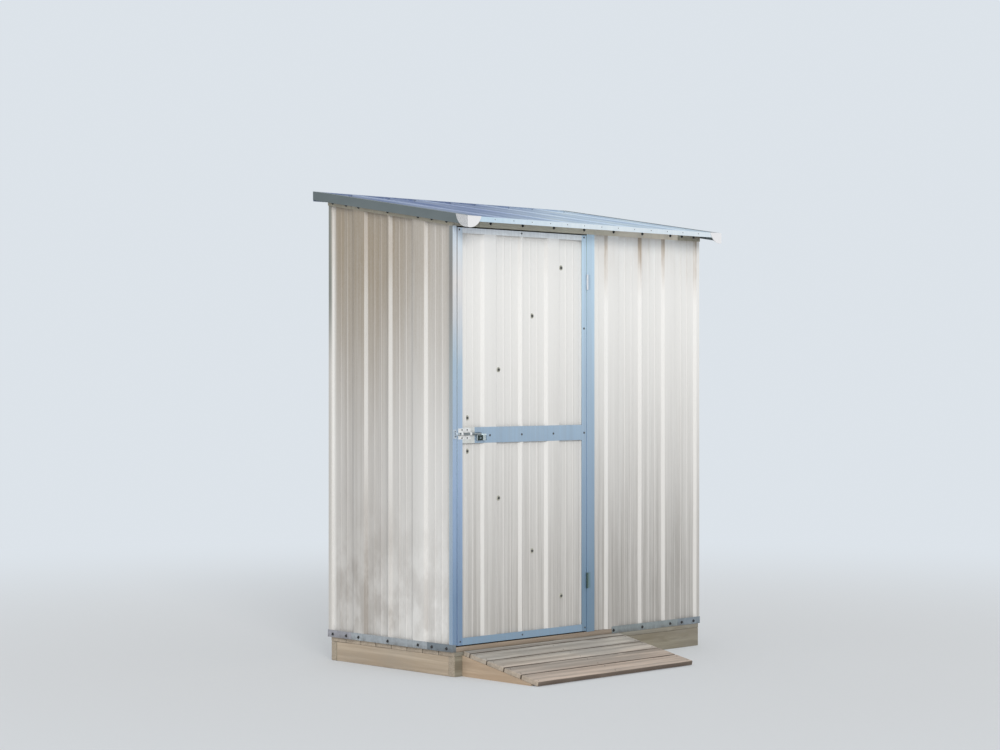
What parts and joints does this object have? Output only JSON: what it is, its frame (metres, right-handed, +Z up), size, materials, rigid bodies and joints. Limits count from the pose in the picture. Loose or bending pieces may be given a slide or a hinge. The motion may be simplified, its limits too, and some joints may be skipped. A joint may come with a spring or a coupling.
{
  "type": "metal tool shed",
  "caption": "Narrow lean-to tool shed of ribbed sheet steel on a timber base, with a hinged door, a sliding bolt and a boarded ramp.",
  "frame": {"origin": "on the ground, in the middle of the box that holds the shed, its roof overhangs and its ramp", "axes": "+X to the right along the front, +Y towards the back wall, +Z up"},
  "size_m": [1.5652, 1.2801, 1.9987],
  "materials": {
    "cream_steel": "satin cream coating with faint dirt streaks",
    "blue_steel": "pale steel-blue coating",
    "galvanised_steel": "dull galvanised steel",
    "zinc_fittings": "bright zinc plating",
    "roof_steel": "weathered blue-grey coating",
    "base_timber": "weathered softwood",
    "ramp_timber": "grey-brown weathered boards",
    "white_plastic": "moulded white plastic"
  },
  "bodies": {
    "shed": {"wall_left": "cream_steel", "wall_right": "cream_steel", "wall_front": "cream_steel", "wall_back_right": "cream_steel", "wall_back_left": "cream_steel", "top_channel_front": "cream_steel", "latch_jamb": "blue_steel", "hinge_jamb": "blue_steel", "base_channel_front": "galvanised_steel", "base_channel_right": "galvanised_steel", "base_channel_back": "galvanised_steel", "base_channel_left": "galvanised_steel", "base_corners": "galvanised_steel", "top_corners": "galvanised_steel", "top_channel_back": "galvanised_steel", "top_channel_left": "galvanised_steel", "top_channel_right": "galvanised_steel", "corner_angles": "galvanised_steel", "hinge_jamb_leaves": "zinc_fittings", "bolt_keeper": "zinc_fittings", "roof_sheet_left": "roof_steel", "roof_sheet_right": "roof_steel", "barge_left": "roof_steel", "barge_right": "roof_steel", "fascia_front": "roof_steel", "capping_back": "roof_steel", "base_rim_front": "base_timber", "base_rim_back": "base_timber", "base_joists": "base_timber", "floor_deck": "base_timber", "door_sill": "base_timber", "ramp_stringers": "ramp_timber", "ramp_boards": "ramp_timber", "roof_caps": "white_plastic"},
    "door": {"door_stile_latch": "blue_steel", "door_stile_hinge": "blue_steel", "door_rail_top": "blue_steel", "door_rail_bottom": "blue_steel", "door_rail_mid": "blue_steel", "bolt_backing_plate": "galvanised_steel", "door_cladding": "cream_steel", "door_braces": "galvanised_steel", "hinge_door_leaves": "zinc_fittings", "bolt_plate": "zinc_fittings"},
    "bolt": {"bolt_rod": "zinc_fittings"}
  },
  "joints": [
    {"name": "door_hinge", "type": "hinge", "parent": "shed", "child": "door", "pos_m": [0.021, -0.216, 1], "axis": [0, 0, 1], "range_deg": [0, 160]},
    {"name": "bolt_slide", "type": "slide", "parent": "door", "child": "bolt", "axis": [-1, 0, 0], "range_m": [0, 0.0245]}
  ]
}
